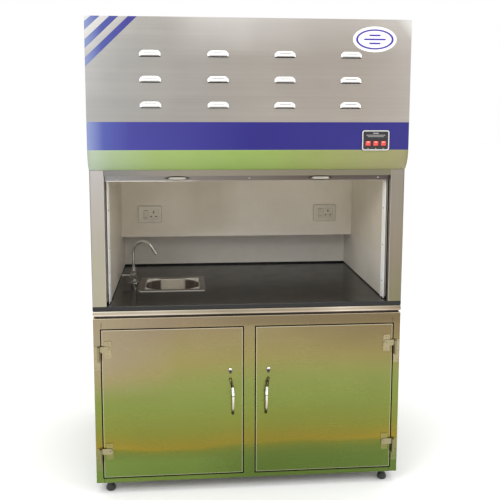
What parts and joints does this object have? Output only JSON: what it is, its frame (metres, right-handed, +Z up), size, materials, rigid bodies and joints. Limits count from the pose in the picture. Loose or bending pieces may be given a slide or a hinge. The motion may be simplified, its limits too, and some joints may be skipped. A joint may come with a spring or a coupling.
{
  "type": "fume hood",
  "caption": "Free-standing steel fume hood: louvred canopy with sliding sash over a lined chamber, dark stone worktop with sink and tap, on a base cabinet with hinged doors",
  "frame": {"origin": "on the floor under the centre of the bounding box", "axes": "+Z up, -Y towards the user at the front, +X to the user's right when facing the hood"},
  "size_m": [1.35, 0.98, 2.1095],
  "materials": {
    "satin_steel": "satin, brushed grain",
    "canopy_steel": "satin sheet with vinyl bands in blue and green",
    "sink_steel": "polished pressed sheet",
    "duct_steel": "galvanised sheet",
    "black_granite": "polished",
    "liner_board": "matt off-white board",
    "lamp_diffuser": "frosted",
    "socket_plastic": "moulded, slightly yellowed white",
    "sash_aluminium": "anodised",
    "sash_glass": "clear toughened",
    "chrome": "polished plating",
    "hinge_chrome": "polished steel",
    "pulley_nylon": "turned nylon",
    "weight_iron": "rough, painted black",
    "impeller_aluminium": "cast",
    "motor_iron": "painted",
    "panel_black": "gloss black plate",
    "rocker_red": "translucent red",
    "pipe_plastic": "moulded white",
    "foot_rubber": "black, slightly glossy",
    "blue_vinyl": "self-adhesive film, semi-gloss",
    "green_vinyl": "self-adhesive film, semi-gloss",
    "badge_white": "moulded, glossy",
    "badge_violet": "printed",
    "screw_steel": "bright pan head",
    "cable_steel": "laid wire rope"
  },
  "bodies": {
    "hood": {"cabinet_face_frame": "satin_steel", "cabinet_shell": "satin_steel", "canopy_front": "canopy_steel", "canopy_top": "satin_steel", "ceiling_liner": "liner_board", "chamber_lamp": "lamp_diffuser", "control_panel": "panel_black", "fan_housing": "duct_steel", "fan_motor": "motor_iron", "left_front_post": "satin_steel", "left_liner": "liner_board", "left_lower_frame_hinge_leaf": "hinge_chrome", "left_outer_side": "satin_steel", "left_socket_plate": "socket_plastic", "left_upper_frame_hinge_leaf": "hinge_chrome", "rear_baffle": "liner_board", "rear_liner": "liner_board", "rear_panel": "satin_steel", "right_front_post": "satin_steel", "right_liner": "liner_board", "right_lower_frame_hinge_leaf": "hinge_chrome", "right_outer_side": "satin_steel", "right_socket_plate": "socket_plastic", "right_upper_frame_hinge_leaf": "hinge_chrome", "sink_bowl": "sink_steel", "sink_trap": "pipe_plastic", "tap_body": "chrome", "worktop": "black_granite", "worktop_support_frame": "satin_steel"},
    "left_door": {"left_door": "satin_steel", "left_upper_door_hinge_leaf": "hinge_chrome", "left_lower_door_hinge_leaf": "hinge_chrome", "left_door_handle": "chrome"},
    "right_door": {"right_door": "satin_steel", "right_upper_door_hinge_leaf": "hinge_chrome", "right_lower_door_hinge_leaf": "hinge_chrome", "right_door_handle": "chrome"},
    "left_lock": {"left_door_lock": "chrome"},
    "right_lock": {"right_door_lock": "chrome"},
    "sash": {"sash_bottom_rail": "sash_aluminium", "sash_frame": "sash_aluminium", "sash_glass": "sash_glass", "left_sash_pull": "chrome", "right_sash_pull": "chrome"},
    "left_counterweight": {"left_counterweight": "weight_iron"},
    "right_counterweight": {"right_counterweight": "weight_iron"},
    "left_pulley": {"left_sash_pulley": "pulley_nylon"},
    "right_pulley": {"right_sash_pulley": "pulley_nylon"},
    "rocker_1": {"rocker_switch_1": "rocker_red"},
    "rocker_2": {"rocker_switch_2": "rocker_red"},
    "rocker_3": {"rocker_switch_3": "rocker_red"},
    "left_socket_rocker": {"left_socket_switch": "socket_plastic"},
    "right_socket_rocker": {"right_socket_switch": "socket_plastic"},
    "spout": {"tap_spout": "chrome"},
    "lever": {"tap_lever": "chrome"},
    "impeller": {"fan_impeller": "impeller_aluminium"},
    "foot_front_left": {"front_left_foot": "foot_rubber"},
    "foot_front_right": {"front_right_foot": "foot_rubber"},
    "foot_rear_left": {"rear_left_foot": "foot_rubber"},
    "foot_rear_right": {"rear_right_foot": "foot_rubber"}
  },
  "joints": [
    {"name": "left_door_hinge", "type": "hinge", "parent": "hood", "child": "left_door", "pos_m": [-0.653, -0.4445, 0.43], "axis": [0, 0, -1], "range_deg": [0, 120]},
    {"name": "right_door_hinge", "type": "hinge", "parent": "hood", "child": "right_door", "pos_m": [0.653, -0.4445, 0.43], "axis": [0, 0, 1], "range_deg": [0, 120]},
    {"name": "left_lock_turn", "type": "hinge", "parent": "left_door", "child": "left_lock", "pos_m": [-0.084, -0.435, 0.553], "axis": [0, -1, 0], "range_deg": [0, 90]},
    {"name": "right_lock_turn", "type": "hinge", "parent": "right_door", "child": "right_lock", "pos_m": [0.084, -0.435, 0.553], "axis": [0, 1, 0], "range_deg": [0, 90]},
    {"name": "sash_slide", "type": "slide", "parent": "hood", "child": "sash", "axis": [0, 0, 1], "range_m": [-0.536, 0]},
    {"name": "left_counterweight_slide", "type": "slide", "parent": "hood", "child": "left_counterweight", "axis": [0, 0, 1], "range_m": [0, 0.536]},
    {"name": "right_counterweight_slide", "type": "slide", "parent": "hood", "child": "right_counterweight", "axis": [0, 0, 1], "range_m": [0, 0.536]},
    {"name": "left_pulley_spin", "type": "hinge", "parent": "hood", "child": "left_pulley", "pos_m": [-0.643, -0.358, 2.008], "axis": [1, 0, 0], "continuous": true},
    {"name": "right_pulley_spin", "type": "hinge", "parent": "hood", "child": "right_pulley", "pos_m": [0.643, -0.358, 2.008], "axis": [1, 0, 0], "continuous": true},
    {"name": "rocker_1_tilt", "type": "hinge", "parent": "hood", "child": "rocker_1", "pos_m": [0.4985, -0.4808, 1.546], "axis": [1, 0, 0], "range_deg": [-16, 0]},
    {"name": "rocker_2_tilt", "type": "hinge", "parent": "hood", "child": "rocker_2", "pos_m": [0.5315, -0.4808, 1.546], "axis": [1, 0, 0], "range_deg": [-16, 0]},
    {"name": "rocker_3_tilt", "type": "hinge", "parent": "hood", "child": "rocker_3", "pos_m": [0.5645, -0.4808, 1.546], "axis": [1, 0, 0], "range_deg": [-16, 0]},
    {"name": "left_socket_rocker_tilt", "type": "hinge", "parent": "hood", "child": "left_socket_rocker", "pos_m": [-0.4785, 0.244, 1.152], "axis": [1, 0, 0], "range_deg": [-8, 0]},
    {"name": "right_socket_rocker_tilt", "type": "hinge", "parent": "hood", "child": "right_socket_rocker", "pos_m": [0.4355, 0.244, 1.152], "axis": [1, 0, 0], "range_deg": [-8, 0]},
    {"name": "spout_swivel", "type": "hinge", "parent": "hood", "child": "spout", "pos_m": [-0.53, 0.02, 0.9148], "axis": [0, 0, 1], "range_deg": [-70, 100]},
    {"name": "tap_lever_turn", "type": "hinge", "parent": "hood", "child": "lever", "pos_m": [-0.53, -0.004, 0.8905], "axis": [0, 1, 0], "range_deg": [0, 90]},
    {"name": "impeller_spin", "type": "hinge", "parent": "hood", "child": "impeller", "pos_m": [0, 0.225, 1.62], "axis": [0, 0, 1], "continuous": true},
    {"name": "foot_front_left_turn", "type": "hinge", "parent": "hood", "child": "foot_front_left", "pos_m": [-0.6175, -0.395, 0], "axis": [0, 0, 1], "continuous": true},
    {"name": "foot_front_right_turn", "type": "hinge", "parent": "hood", "child": "foot_front_right", "pos_m": [0.6175, -0.395, 0], "axis": [0, 0, 1], "continuous": true},
    {"name": "foot_rear_left_turn", "type": "hinge", "parent": "hood", "child": "foot_rear_left", "pos_m": [-0.6175, 0.445, 0], "axis": [0, 0, 1], "continuous": true},
    {"name": "foot_rear_right_turn", "type": "hinge", "parent": "hood", "child": "foot_rear_right", "pos_m": [0.6175, 0.445, 0], "axis": [0, 0, 1], "continuous": true}
  ],
  "couplings": [
    {"joint": "left_counterweight_slide", "follows": "sash_slide", "ratio": -1},
    {"joint": "right_counterweight_slide", "follows": "sash_slide", "ratio": -1},
    {"joint": "left_pulley_spin", "follows": "sash_slide", "rad_per_m": -25},
    {"joint": "right_pulley_spin", "follows": "sash_slide", "rad_per_m": -25}
  ]
}
